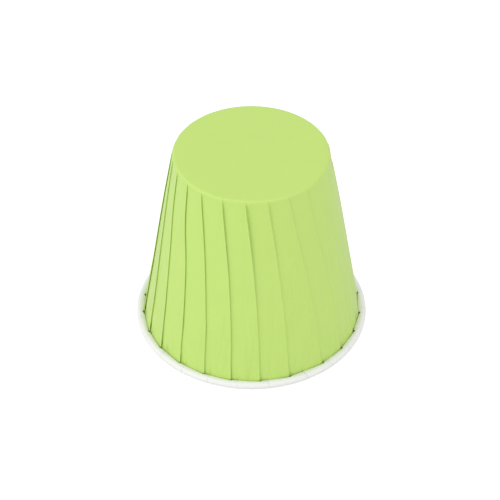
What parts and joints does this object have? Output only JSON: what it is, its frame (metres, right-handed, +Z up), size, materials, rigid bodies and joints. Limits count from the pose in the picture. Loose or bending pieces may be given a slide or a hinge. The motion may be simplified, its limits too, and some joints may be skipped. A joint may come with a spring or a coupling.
{
  "type": "cupcake liner",
  "caption": "Pleated paper baking cup with a flat closed end and a rolled rim, upturned on its rim.",
  "frame": {"origin": "middle of the circle that the rolled rim stands on", "axes": "+Z up along the cup's axis, from the open mouth to the closed end; -Y faces the viewer"},
  "size_m": [0.0598, 0.0598, 0.052],
  "materials": {
    "paper": "coated baking paper, green outside and white inside and on the roll"
  },
  "bodies": {
    "root": {"baking_cup": "paper"}
  },
  "joints": []
}
